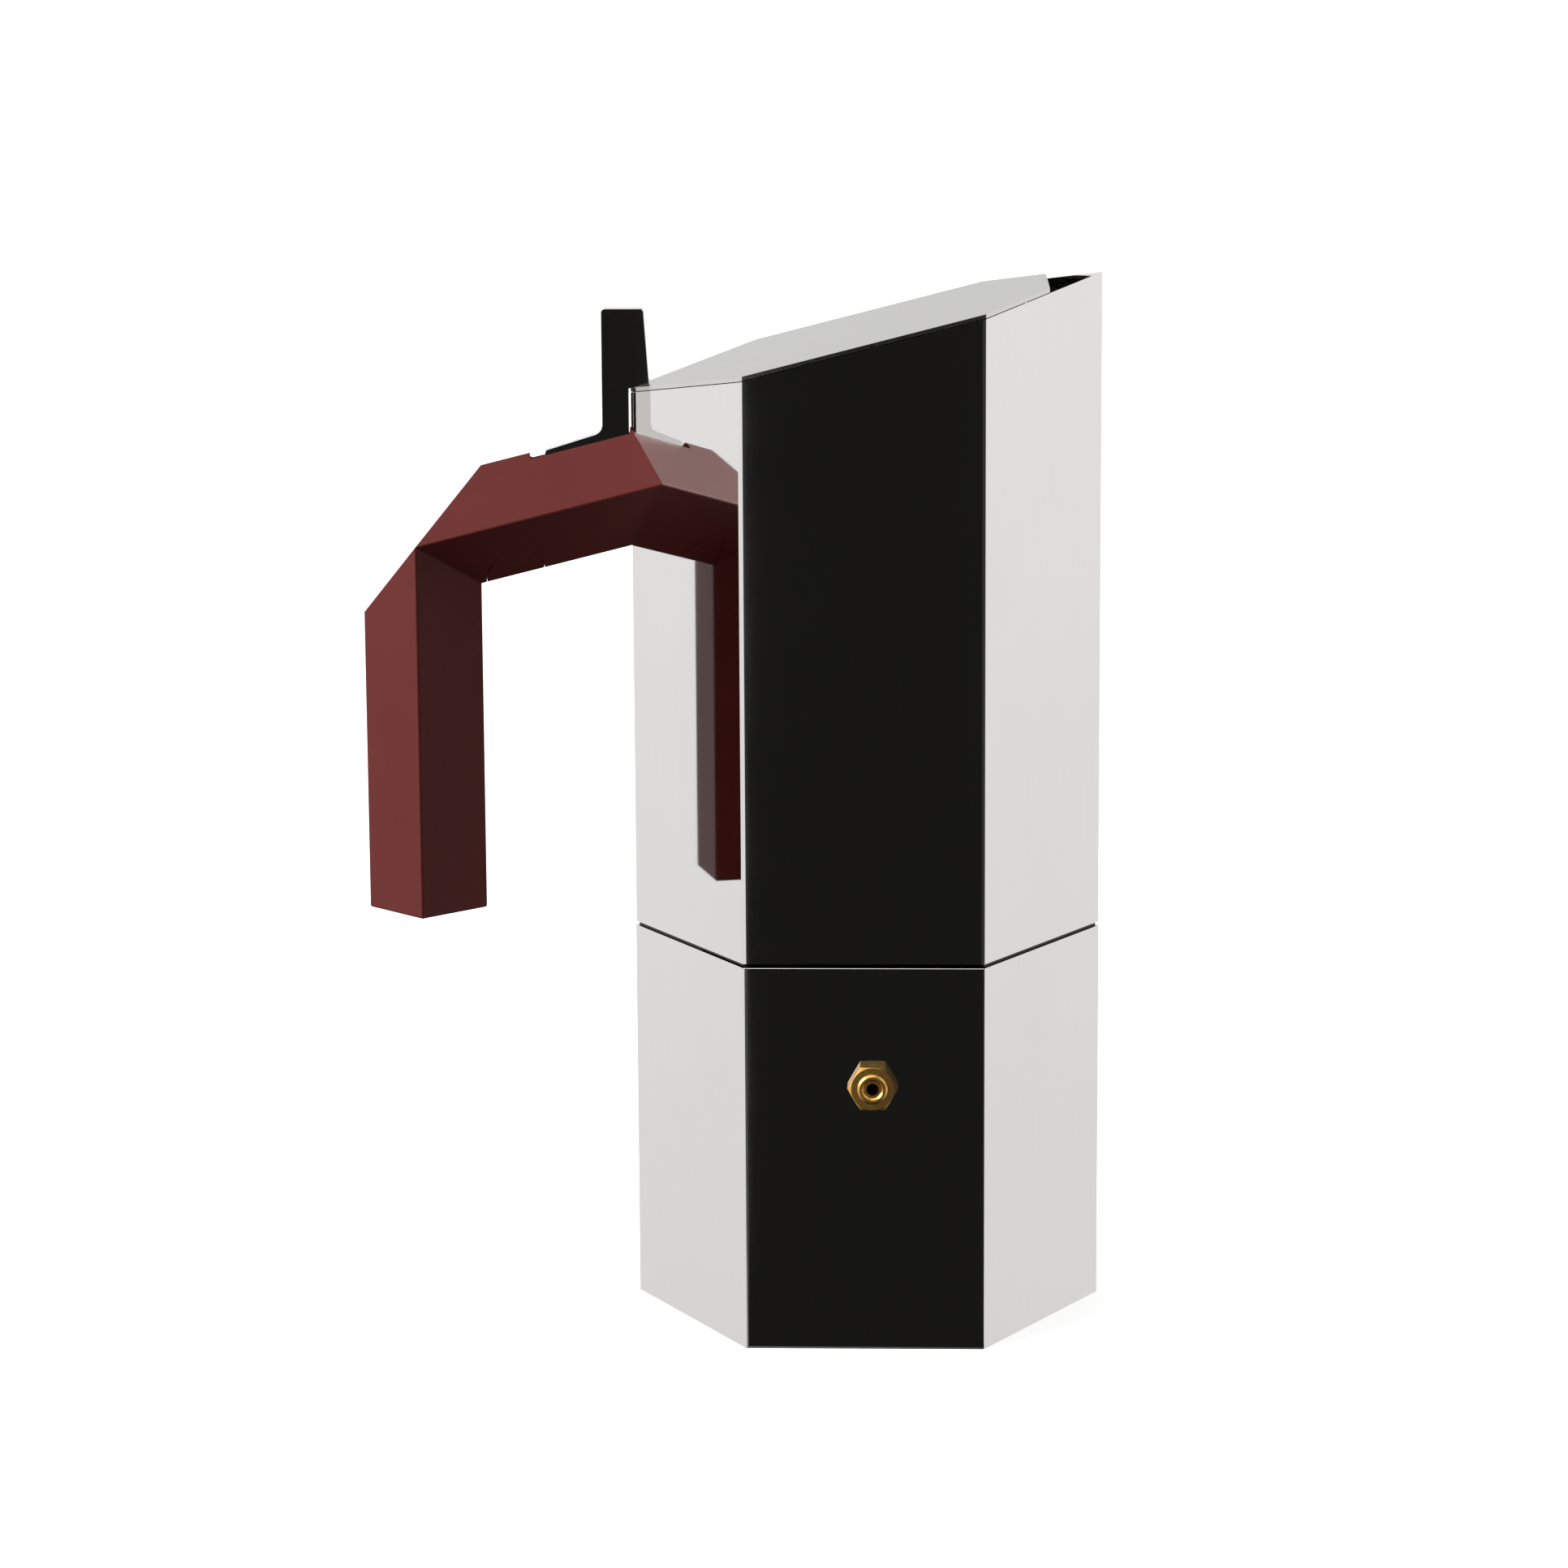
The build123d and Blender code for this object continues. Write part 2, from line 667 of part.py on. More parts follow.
# ---------------------------------------------------------------- thumb lever and its pin
blade_left = corner_x - blade_outside
blade_right = corner_x + blade_inside
blade_top_right = corner_x + blade_top_inside
blade_top = rim_z(corner_x) + blade_rise
lever_back = corner_x - lever_standoff
tail_x = corner_x - tail_reach
tail_top_x = tail_x + tail_lean
tail_top = ridge_z(tail_top_x) - tail_sink
heel_z = tail_top + (blade_left - tail_top_x) * tan(radians(tail_slope))
arm_z = ridge_z(lever_back) - arm_depth
with BuildPart() as thumb_lever:
    with BuildSketch(Plane.XZ) as lever_side:
        with BuildLine():
            Polyline(
                (tail_x, tail_top - tail_depth),
                (tail_top_x, tail_top),
                (blade_left, heel_z),
                (blade_left, blade_top),
                (blade_top_right, blade_top),
                (blade_right, rim_z(blade_right) + lid_lift),
                (lever_back, rim_z(lever_back) + lid_lift),
                (lever_back, arm_z),
                (pivot_x + knuckle_radius / 2, pivot_z - knuckle_radius),
                (pivot_x - knuckle_radius / 2, pivot_z - knuckle_radius),
                close=True,
            )
        make_face()
        outline = lever_side.vertices()
        blade_corners = outline.sort_by(Axis.Y)[-2:]
        tail_corners = outline.sort_by(Axis.X)[:2]
        fillet(blade_corners, blade_corner_radius)
        fillet(tail_corners, tail_radius)
        heel = lever_side.vertices().sort_by_distance((blade_left, heel_z))[0]
        fillet(heel, heel_radius)
    extrude(amount=lever_thickness / 2, both=True)
    lever_sides = thumb_lever.faces().filter_by(Axis.Y)
    chamfer(lever_sides.edges(), lever_bevel)
    with Locations((pivot_x, 0, pivot_z)):
        Cylinder(
            pin_radius + pin_clearance, 2 * lever_thickness, rotation=(90, 0, 0), mode=Mode.SUBTRACT
        )

with BuildPart() as hinge_pin:
    with Locations((pivot_x, 0, pivot_z)):
        Cylinder(pin_radius, pin_length, rotation=(90, 0, 0))

# ---------------------------------------------------------------- written pieces
pieces = {
    "boiler": boiler,
    "valve_body": valve_body,
    "valve_washer": valve_washer,
    "valve_bush": valve_bush,
    "valve_plunger": valve_plunger,
    "valve_spring": valve_spring,
    "funnel_basket": funnel_basket,
    "funnel_stem": funnel_stem,
    "funnel_sieve": funnel_sieve,
    "gasket": gasket,
    "filter_plate": filter_plate,
    "collector": collector,
    "riser_column": riser_column,
    "riser_cap": riser_cap,
    "handle": handle,
    "handle_screw": handle_screw,
    "handle_washer": handle_washer,
    "handle_plug": handle_plug,
    "hinge_pin": hinge_pin,
    "lid": lid,
    "thumb_lever": thumb_lever,
}
os.makedirs("parts", exist_ok=True)
for name, piece in pieces.items():
    piece.part.label = name
    export_step(piece.part, f"parts/{name}.step")
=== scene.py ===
import math

import bpy
from bpy.props import FloatProperty, FloatVectorProperty, IntProperty, PointerProperty
from mathutils import Matrix, Vector


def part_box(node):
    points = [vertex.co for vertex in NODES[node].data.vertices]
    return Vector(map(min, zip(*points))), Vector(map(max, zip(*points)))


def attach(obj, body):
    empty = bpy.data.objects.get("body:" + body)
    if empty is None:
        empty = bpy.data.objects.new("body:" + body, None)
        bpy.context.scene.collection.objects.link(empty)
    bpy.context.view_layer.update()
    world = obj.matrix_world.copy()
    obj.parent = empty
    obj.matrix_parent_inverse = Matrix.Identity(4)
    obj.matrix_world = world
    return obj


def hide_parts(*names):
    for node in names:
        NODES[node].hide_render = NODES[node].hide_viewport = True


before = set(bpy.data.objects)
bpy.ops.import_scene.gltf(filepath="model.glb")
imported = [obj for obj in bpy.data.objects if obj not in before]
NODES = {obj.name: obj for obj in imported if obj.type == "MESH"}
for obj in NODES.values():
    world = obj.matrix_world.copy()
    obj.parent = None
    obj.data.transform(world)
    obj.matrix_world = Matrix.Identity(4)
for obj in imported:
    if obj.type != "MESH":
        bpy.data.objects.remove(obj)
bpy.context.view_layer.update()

# A hexagonal stove-top coffee pot on a plain studio floor. The pot's solids come from the packed
# model. This file gives them their finishes, cuts the screw thread and the holes of the two
# strainer discs, and sets up the floor, the lights and the camera. Lengths are in metres.

bl_info = {
    "name": "Moka pot",
    "version": (1, 0, 0),
    "blender": (4, 5, 0),
    "location": "3D View > Sidebar > Moka pot",
    "description": "Finishes, screw thread and strainer discs of a hexagonal stove-top coffee pot",
    "category": "Object",
}

MM = 0.001


# ---------------------------------------------------------------- sizes taken from the model
def low(node):
    return Vector(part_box(node)[0])


def high(node):
    return Vector(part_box(node)[1])


# Sizes of the solids that no node's box gives.
THREAD_ROOM = 1.2 * MM
NECK_LENGTH = 11.5 * MM
SEAM_GAP = 0.9 * MM
GASKET_INSET = 0.5 * MM
JUG_WALL = 2.2 * MM

BOILER_TOP = high("boiler").z - NECK_LENGTH
NECK_RADIUS = high("gasket").x + GASKET_INSET
FRONT_Y = low("boiler").y
HEX_SIDE = high("boiler").x


# ---------------------------------------------------------------- helpers
def linear(code):
    """An sRGB hex colour such as d8d6d4 as linear red, green, blue and an alpha of 1."""
    parts = [int(code[i : i + 2], 16) / 255 for i in (0, 2, 4)]
    low_part = 0.04045
    return tuple(v / 12.92 if v <= low_part else ((v + 0.055) / 1.055) ** 2.4 for v in parts) + (1.0,)


def add(tree, kind, settings=None, inputs=None):
    """One node with its settings, and its inputs given as values or as sockets to link from."""
    made = tree.nodes.new(kind)
    for name, value in (settings or {}).items():
        setattr(made, name, value)
    for name, value in (inputs or {}).items():
        if isinstance(value, bpy.types.NodeSocket):
            tree.links.new(value, made.inputs[name])
        else:
            made.inputs[name].default_value = value
    return made


def new_material(name):
    """An empty node material and its tree."""
    material = bpy.data.materials.new(name)
    material.use_nodes = True
    material.node_tree.nodes.clear()
    return material, material.node_tree


def finish_material(tree, shader):
    add(tree, "ShaderNodeOutputMaterial", inputs={"Surface": shader.outputs[0]})


def paint(material, *names):
    """Puts a material into every slot of these CAD nodes."""
    for name in names:
        for holder in NODES[name].material_slots:
            holder.material = material


def grey(value):
    return (value, value, value, 1.0)


def set_stops(ramp, stops):
    """Gives a colour ramp its (position, grey level) stops."""
    elements = ramp.color_ramp.elements
    while len(elements) < len(stops):
        elements.new(0.5)
    for element, (position, level) in zip(elements, stops):
        element.position = position
        element.color = grey(level)


# ---------------------------------------------------------------- properties
class MokaFinishes(bpy.types.PropertyGroup):
    """Colours of the pot's surfaces."""

    aluminium: FloatVectorProperty(
        name="Aluminium",
        description="Reflected colour of the polished boiler and jug",
        subtype="COLOR", size=4, min=0, max=1, default=linear("dcdad8"),
    )
    lid_aluminium: FloatVectorProperty(
        name="Lid aluminium",
        description="Reflected colour of the flat-ground lid and its lever",
        subtype="COLOR", size=4, min=0, max=1, default=linear("cdcbc8"),
    )
    plastic: FloatVectorProperty(
        name="Handle plastic",
        description="Body colour of the moulded handle",
        subtype="COLOR", size=4, min=0, max=1, default=linear("551713"),
    )
    brass: FloatVectorProperty(
        name="Brass",
        description="Reflected colour of the safety valve",
        subtype="COLOR", size=4, min=0, max=1, default=linear("e0ad5c"),
    )
    rubber: FloatVectorProperty(
        name="Gasket rubber",
        description="Body colour of the gasket",
        subtype="COLOR", size=4, min=0, max=1, default=linear("e6e2da"),
    )


class MokaSizes(bpy.types.PropertyGroup):
    """Sizes of the thread and of the strainer holes."""

    thread_pitch: FloatProperty(
        name="Thread pitch",
        description="Rise of the screw thread in one turn",
        unit="LENGTH", default=3.0 * MM,
    )
    thread_height: FloatProperty(
        name="Thread height",
        description="How far each thread stands off its cylinder",
        unit="LENGTH", default=0.75 * MM,
    )
    thread_turns: FloatProperty(
        name="Thread turns",
        description="Turns of thread on the neck",
        default=2.6,
    )
    hole_spacing: FloatProperty(
        name="Hole spacing",
        description="Distance between neighbouring holes of a strainer",
        unit="LENGTH", default=2.4 * MM,
    )
    hole_diameter: FloatProperty(
        name="Hole diameter",
        description="Diameter of a strainer's holes",
        unit="LENGTH", default=1.0 * MM,
    )
    hole_sides: IntProperty(
        name="Hole sides",
        description="Number of sides that each round hole is drawn with",
        default=10, min=6,
    )


class MokaStudio(bpy.types.PropertyGroup):
    """The camera and the light."""

    lens: FloatProperty(
        name="Lens",
        description="Focal length on a sensor 36 mm wide",
        default=109.53,
    )
    camera_place: FloatVectorProperty(
        name="Camera place",
        description="Where the camera stands",
        subtype="TRANSLATION", size=3, default=(0.01818, -1.10840, 0.32752),
    )
    camera_turn: FloatVectorProperty(
        name="Camera turn",
        description="Yaw, pitch and roll of the camera",
        subtype="EULER", size=3,
        default=(math.radians(-1.95), math.radians(10.40), math.radians(-0.32)),
    )
    side_light: FloatProperty(
        name="Side light",
        description="Power of the large light on the handle's side",
        unit="POWER", default=44.0,
    )
    top_light: FloatProperty(
        name="Top light",
        description="Power of the large light overhead",
        unit="POWER", default=7.0,
    )


# ---------------------------------------------------------------- metal finishes
def inside_hexagon(tree, place, apothem):
    """A node that gives 1 inside an upright hexagonal prism about the pot's axis, and 0 outside."""
    reaches = []
    for turn in (-30, 30, 90):
        across = (math.cos(math.radians(turn)), math.sin(math.radians(turn)), 0.0)
        along = add(tree, "ShaderNodeVectorMath", {"operation": "DOT_PRODUCT"}, {
            0: place.outputs["Object"], 1: across,
        })
        reaches.append(add(tree, "ShaderNodeMath", {"operation": "ABSOLUTE"}, {0: along.outputs["Value"]}))
    first, second, third = reaches
    pair = add(tree, "ShaderNodeMath", {"operation": "MAXIMUM"}, {0: first.outputs[0], 1: second.outputs[0]})
    reach = add(tree, "ShaderNodeMath", {"operation": "MAXIMUM"}, {0: pair.outputs[0], 1: third.outputs[0]})
    return add(tree, "ShaderNodeMath", {"operation": "LESS_THAN"}, {0: reach.outputs[0], 1: apothem})


def polished_aluminium(name, colour, roughness, wave_depth, painted_shade_below=None, satin_within=None):
    """Cast or drawn aluminium, ground and buffed to a mirror.

    The mirror is a little soft, with fine buffing lines, and its flat is not quite flat. Below
    the height painted_shade_below it is painted nearly black: painted shade standing in for the shadow in
    the seam. Within satin_within of the axis, measured across the hexagon's sides, it keeps the
    satin skin of the casting.
    """
    material, tree = new_material(name)
    place = add(tree, "ShaderNodeTexCoord")
    # Buffing lines run up the pot. Real ones are finer, and these are as coarse as they need to show.
    line_spacing = 0.4 * MM
    line_length = 24 * MM
    haze_size = 30 * MM
    wave_size = 45 * MM
    casting_roughness = 0.38
    stretched = add(tree, "ShaderNodeMapping", inputs={
        "Vector": place.outputs["Object"],
        "Scale": (1 / line_spacing, 1 / line_spacing, 1 / line_length),
    })
    lines = add(tree, "ShaderNodeTexNoise", inputs={
        "Vector": stretched.outputs[0], "Scale": 1.0, "Detail": 3.0, "Roughness": 0.6,
    })
    haze = add(tree, "ShaderNodeTexNoise", inputs={
        "Vector": place.outputs["Object"], "Scale": 1 / haze_size, "Detail": 2.0,
    })
    mixed = add(tree, "ShaderNodeMath", {"operation": "ADD"}, {0: lines.outputs[0], 1: haze.outputs[0]})
    rough = add(tree, "ShaderNodeMapRange", inputs={
        "Value": mixed.outputs[0], "From Min": 0.7, "From Max": 1.3,
        "To Min": roughness * 0.7, "To Max": roughness * 1.4,
    })
    if satin_within is not None:
        within = inside_hexagon(tree, place, satin_within)
        rough = add(tree, "ShaderNodeMix", {"data_type": "FLOAT"}, {
            "Factor": within.outputs[0], "A": rough.outputs[0], "B": casting_roughness,
        })
    tone = add(tree, "ShaderNodeMapRange", inputs={
        "Value": mixed.outputs[0], "From Min": 0.6, "From Max": 1.4, "To Min": 0.985, "To Max": 1.015,
    })
    toned = add(tree, "ShaderNodeMix", {"data_type": "RGBA", "blend_type": "MULTIPLY"}, {
        "Factor": 1.0, "A": colour, "B": tone.outputs[0],
    })
    # Painted shade: below that height the colour is painted nearly black, for the shadow in the seam.
    if painted_shade_below is not None:
        parts = add(tree, "ShaderNodeSeparateXYZ", inputs={"Vector": place.outputs["Object"]})
        under = add(tree, "ShaderNodeMath", {"operation": "LESS_THAN"}, {
            0: parts.outputs["Z"], 1: painted_shade_below,
        })
        toned = add(tree, "ShaderNodeMix", {"data_type": "RGBA"}, {
            "Factor": under.outputs[0], "A": toned.outputs["Result"], "B": linear("141414"),
        })
    waves = add(tree, "ShaderNodeTexNoise", inputs={
        "Vector": place.outputs["Object"], "Scale": 1 / wave_size, "Detail": 1.0,
    })
    uneven = add(tree, "ShaderNodeBump", inputs={
        "Strength": 1.0, "Distance": wave_depth, "Height": waves.outputs[0],
    })
    shader = add(tree, "ShaderNodeBsdfPrincipled", inputs={
        "Base Color": toned.outputs["Result"], "Metallic": 1.0,
        "Roughness": rough.outputs[0], "Normal": uneven.outputs[0],
    })
    finish_material(tree, shader)
    return material


def satin_metal(name, colour, roughness, grain, painted_shade_behind=None):
    """Pressed or turned metal with a fine dull grain of the given size in metres.

    Behind the plane Y = painted_shade_behind it is painted nearly black: painted shade, as at the bottom of
    a hole.
    """
    material, tree = new_material(name)
    place = add(tree, "ShaderNodeTexCoord")
    speck = add(tree, "ShaderNodeTexNoise", inputs={
        "Vector": place.outputs["Object"], "Scale": 1 / grain, "Detail": 3.0,
    })
    rough = add(tree, "ShaderNodeMapRange", inputs={
        "Value": speck.outputs[0], "From Min": 0.3, "From Max": 0.7,
        "To Min": roughness * 0.8, "To Max": roughness * 1.25,
    })
    tone = add(tree, "ShaderNodeMapRange", inputs={
        "Value": speck.outputs[0], "From Min": 0.3, "From Max": 0.7, "To Min": 0.94, "To Max": 1.03,
    })
    toned = add(tree, "ShaderNodeMix", {"data_type": "RGBA", "blend_type": "MULTIPLY"}, {
        "Factor": 1.0, "A": colour, "B": tone.outputs[0],
    })
    # Painted shade: behind that plane the colour is painted nearly black, for the dark inside of a hole.
    if painted_shade_behind is not None:
        parts = add(tree, "ShaderNodeSeparateXYZ", inputs={"Vector": place.outputs["Object"]})
        behind = add(tree, "ShaderNodeMath", {"operation": "GREATER_THAN"}, {
            0: parts.outputs["Y"], 1: painted_shade_behind,
        })
        toned = add(tree, "ShaderNodeMix", {"data_type": "RGBA"}, {
            "Factor": behind.outputs[0], "A": toned.outputs["Result"], "B": linear("2a1d10"),
        })
    bump = add(tree, "ShaderNodeBump", inputs={
        "Strength": 0.3, "Distance": grain / 10, "Height": speck.outputs[0],
    })
    shader = add(tree, "ShaderNodeBsdfPrincipled", inputs={
        "Base Color": toned.outputs["Result"], "Metallic": 1.0,
        "Roughness": rough.outputs[0], "Normal": bump.outputs[0],
    })
    finish_material(tree, shader)
    return material


class MOKA_OT_vessel(bpy.types.Operator):
    """Finish the boiler and the jug in mirror-polished aluminium"""

    bl_idname = "moka.vessel"
    bl_label = "Boiler and jug"

    def execute(self, context):
        colour = tuple(context.scene.moka_finishes.aluminium)
        roughness = 0.03
        wave_depth = 0.001 * MM
        # Painted shade for the shadow in the seam: all of the jug below its own lower face is painted nearly
        # black.
        just_under = 0.02 * MM
        seam = BOILER_TOP + SEAM_GAP - just_under
        satin = high("boiler").y - JUG_WALL / 2
        boiler = polished_aluminium("polished cast aluminium", colour, roughness, wave_depth)
        jug = polished_aluminium(
            "polished cast aluminium, satin inside, painted seam shade", colour, roughness, wave_depth, seam, satin,
        )
        paint(boiler, "boiler")
        paint(jug, "collector")
        return {"FINISHED"}


class MOKA_OT_lid(bpy.types.Operator):
    """Finish the lid and its thumb lever in ground and polished aluminium"""

    bl_idname = "moka.lid"
    bl_label = "Lid and lever"

    def execute(self, context):
        finishes = context.scene.moka_finishes
        ground, polished = tuple(finishes.lid_aluminium), tuple(finishes.aluminium)
        paint(polished_aluminium("ground aluminium sheet", ground, 0.11, 0.002 * MM), "lid")
        paint(polished_aluminium("polished aluminium plate", polished, 0.04, 0.001 * MM), "thumb_lever")
        return {"FINISHED"}


class MOKA_OT_inside(bpy.types.Operator):
    """Finish the riser, the funnel and its stem in satin aluminium"""

    bl_idname = "moka.inside"
    bl_label = "Riser and funnel"

    def execute(self, context):
        material = satin_metal("pressed satin aluminium", linear("c9c9c7"), 0.32, 0.5 * MM)
        paint(material, "riser_column", "riser_cap", "funnel_basket", "funnel_stem")
        return {"FINISHED"}


class MOKA_OT_valve(bpy.types.Operator):
    """Finish the safety valve in turned brass, with painted shade in the bore of its plunger"""

    bl_idname = "moka.valve"
    bl_label = "Safety valve"

    def execute(self, context):
        colour = tuple(context.scene.moka_finishes.brass)
        roughness = 0.27
        tool_marks = 0.15 * MM
        # The plunger's bore is painted nearly black from just inside its front lip: painted shade in the
        # hole.
        bright_edge = 0.2 * MM
        bore = low("valve_plunger").y + bright_edge
        body = satin_metal("turned brass", colour, roughness, tool_marks)
        plunger = satin_metal("turned brass, painted shade in bore", colour, roughness, tool_marks, bore)
        paint(body, "valve_body", "valve_bush")
        paint(plunger, "valve_plunger")
        return {"FINISHED"}


class MOKA_OT_fixings(bpy.types.Operator):
    """Finish the screw, the pin and the spring in steel"""

    bl_idname = "moka.fixings"
    bl_label = "Screw, pin and spring"

    def execute(self, context):
        material = satin_metal("drawn stainless steel", linear("b9b8b5"), 0.28, 0.2 * MM)
        paint(material, "handle_screw", "handle_washer", "hinge_pin", "valve_spring")
        return {"FINISHED"}


# ---------------------------------------------------------------- handle
class MOKA_OT_handle(bpy.types.Operator):
    """Finish the handle and its plug in moulded dark red plastic"""

    bl_idname = "moka.handle"
    bl_label = "Handle"

    def execute(self, context):
        # Glass-filled polyamide, moulded in a spark-eroded tool: dull, with a fine even grain and a
        # faint change of tone where the plastic flowed.
        grain_size = 0.25 * MM
        grain_depth = 0.03 * MM
        flow_size = 22 * MM
        colour = tuple(context.scene.moka_finishes.plastic)
        material, tree = new_material("moulded polyamide")
        place = add(tree, "ShaderNodeTexCoord")
        grain = add(tree, "ShaderNodeTexNoise", inputs={
            "Vector": place.outputs["Object"], "Scale": 1 / grain_size, "Detail": 2.0,
        })
        flow = add(tree, "ShaderNodeTexNoise", inputs={
            "Vector": place.outputs["Object"], "Scale": 1 / flow_size, "Detail": 3.0,
        })
        tone = add(tree, "ShaderNodeValToRGB", inputs={"Fac": flow.outputs[0]})
        set_stops(tone, [(0.3, 0.94), (0.7, 1.04)])
        toned = add(tree, "ShaderNodeMix", {"data_type": "RGBA", "blend_type": "MULTIPLY"}, {
            "Factor": 1.0, "A": colour, "B": tone.outputs[0],
        })
        rough = add(tree, "ShaderNodeMapRange", inputs={
            "Value": grain.outputs[0], "From Min": 0.3, "From Max": 0.7, "To Min": 0.46, "To Max": 0.58,
        })
        bump = add(tree, "ShaderNodeBump", inputs={
            "Strength": 0.25, "Distance": grain_depth, "Height": grain.outputs[0],
        })
        shader = add(tree, "ShaderNodeBsdfPrincipled", inputs={
            "Base Color": toned.outputs["Result"], "Roughness": rough.outputs[0],
            "Normal": bump.outputs[0], "Specular IOR Level": 0.2,
        })
        finish_material(tree, shader)
        paint(material, "handle", "handle_plug")
        return {"FINISHED"}


class MOKA_OT_seals(bpy.types.Operator):
    """Finish the gasket in silicone rubber and the valve's washer in fibre"""

    bl_idname = "moka.seals"
    bl_label = "Gasket and washer"

    def execute(self, context):
        for name, colour, roughness, grain, nodes in (
            ("silicone rubber", tuple(context.scene.moka_finishes.rubber), 0.45, 0.6 * MM, ["gasket"]),
            ("pressed fibre", linear("8c3a26"), 0.8, 0.3 * MM, ["valve_washer"]),
        ):
            material, tree = new_material(name)
            place = add(tree, "ShaderNodeTexCoord")
            speck = add(tree, "ShaderNodeTexNoise", inputs={
                "Vector": place.outputs["Object"], "Scale": 1 / grain, "Detail": 3.0,
            })
            tone = add(tree, "ShaderNodeValToRGB", inputs={"Fac": speck.outputs[0]})
            set_stops(tone, [(0.3, 0.92), (0.7, 1.0)])
            toned = add(tree, "ShaderNodeMix", {"data_type": "RGBA", "blend_type": "MULTIPLY"}, {
                "Factor": 1.0, "A": colour, "B": tone.outputs[0],
            })
            shader = add(tree, "ShaderNodeBsdfPrincipled", inputs={
                "Base Color": toned.outputs["Result"], "Roughness": roughness,
            })
            finish_material(tree, shader)
            paint(material, *nodes)
        return {"FINISHED"}


# ---------------------------------------------------------------- geometry node pieces
def tree_with_inputs(name, sizes):
    """A geometry tree with one named float input for each size, and its group input node."""
    tree = bpy.data.node_groups.new(name, "GeometryNodeTree")
    identifiers = {}
    for label in sizes:
        socket = tree.interface.new_socket(label, in_out="INPUT", socket_type="NodeSocketFloat")
        identifiers[label] = socket.identifier
    tree.interface.new_socket("Geometry", in_out="OUTPUT", socket_type="NodeSocketGeometry")
    return tree, identifiers, add(tree, "NodeGroupInput")


def close_tree(tree, geometry, material):
    """Ends a geometry tree in plain geometry that carries its material."""
    real = add(tree, "GeometryNodeRealizeInstances", inputs={"Geometry": geometry})
    dressed = add(tree, "GeometryNodeSetMaterial", inputs={
        "Geometry": real.outputs[0], "Material": material,
    })
    output = add(tree, "NodeGroupOutput")
    tree.links.new(dressed.outputs[0], output.inputs[0])


def grow(name, tree, identifiers, sizes, material):
    """Runs a geometry tree once and keeps its result as a plain mesh object."""
    seed_mesh = bpy.data.meshes.new(name + "_seed")
    holder = bpy.data.objects.new(name + "_seed", seed_mesh)
    bpy.context.scene.collection.objects.link(holder)
    modifier = holder.modifiers.new("grow", "NODES")
    modifier.node_group = tree
    for label, value in sizes.items():
        modifier[identifiers[label]] = value
    depsgraph = bpy.context.evaluated_depsgraph_get()
    depsgraph.update()
    mesh = bpy.data.meshes.new_from_object(holder.evaluated_get(depsgraph), depsgraph=depsgraph)
    if len(mesh.polygons) == 0:
        raise RuntimeError(name + " came out empty")
    mesh.name = name
    holder.modifiers.clear()
    bpy.data.objects.remove(holder)
    bpy.data.meshes.remove(seed_mesh)
    mesh.materials.clear()
    mesh.materials.append(material)
    piece = bpy.data.objects.new(name, mesh)
    bpy.context.scene.collection.objects.link(piece)
    return piece


def thread_tree(material):
    """One ridge of screw thread: a tapered section carried along a helix."""
    names = ["Radius", "Rise", "Turns", "Pitch", "Height", "Width", "Start angle"]
    tree, identifiers, given = tree_with_inputs("screw thread", names)
    given = given.outputs
    length = add(tree, "ShaderNodeMath", {"operation": "MULTIPLY"}, {
        0: given["Turns"], 1: given["Pitch"],
    })
    # The spiral winds right-handed about +Z only when it is reversed.
    points_per_turn = 72
    helix = add(tree, "GeometryNodeCurveSpiral", inputs={
        "Resolution": points_per_turn, "Rotations": given["Turns"], "Start Radius": given["Radius"],
        "End Radius": given["Radius"], "Height": length.outputs[0], "Reverse": True,
    })
    upright = add(tree, "GeometryNodeSetCurveNormal", {"mode": "Z_UP"}, {"Curve": helix.outputs[0]})
    # The section's X points away from the axis. A ridge that stands inwards has a height below 0,
    # so its section is drawn the other way round, which keeps its faces outwards.
    way = add(tree, "ShaderNodeMath", {"operation": "SIGN"}, {0: given["Height"]})
    width = add(tree, "ShaderNodeMath", {"operation": "MULTIPLY"}, {
        0: given["Width"], 1: way.outputs[0],
    })
    # The ridge is narrower at its crest than at its root.
    root_half, crest_half = 0.5, 0.18
    corners = []
    for share, stand in (
        (-root_half, 0.0),
        (-crest_half, given["Height"]),
        (crest_half, given["Height"]),
        (root_half, 0.0),
    ):
        across = add(tree, "ShaderNodeMath", {"operation": "MULTIPLY"}, {0: width.outputs[0], 1: share})
        corners.append(add(tree, "ShaderNodeCombineXYZ", inputs={"X": stand, "Y": across.outputs[0]}))
    section = add(tree, "GeometryNodeCurvePrimitiveQuadrilateral", {"mode": "POINTS"}, {
        f"Point {i + 1}": corner.outputs[0] for i, corner in enumerate(corners)
    })
    ridge = add(tree, "GeometryNodeCurveToMesh", inputs={
        "Curve": upright.outputs[0], "Profile Curve": section.outputs[0], "Fill Caps": True,
    })
    flat = add(tree, "GeometryNodeSetShadeSmooth", inputs={
        "Geometry": ridge.outputs[0], "Shade Smooth": False,
    })
    lift = add(tree, "ShaderNodeCombineXYZ", inputs={"Z": given["Rise"]})
    turn = add(tree, "ShaderNodeCombineXYZ", inputs={"Z": given["Start angle"]})
    placed = add(tree, "GeometryNodeTransform", inputs={
        "Geometry": flat.outputs[0], "Translation": lift.outputs[0], "Rotation": turn.outputs[0],
    })
    close_tree(tree, placed.outputs[0], material)
    return tree, identifiers


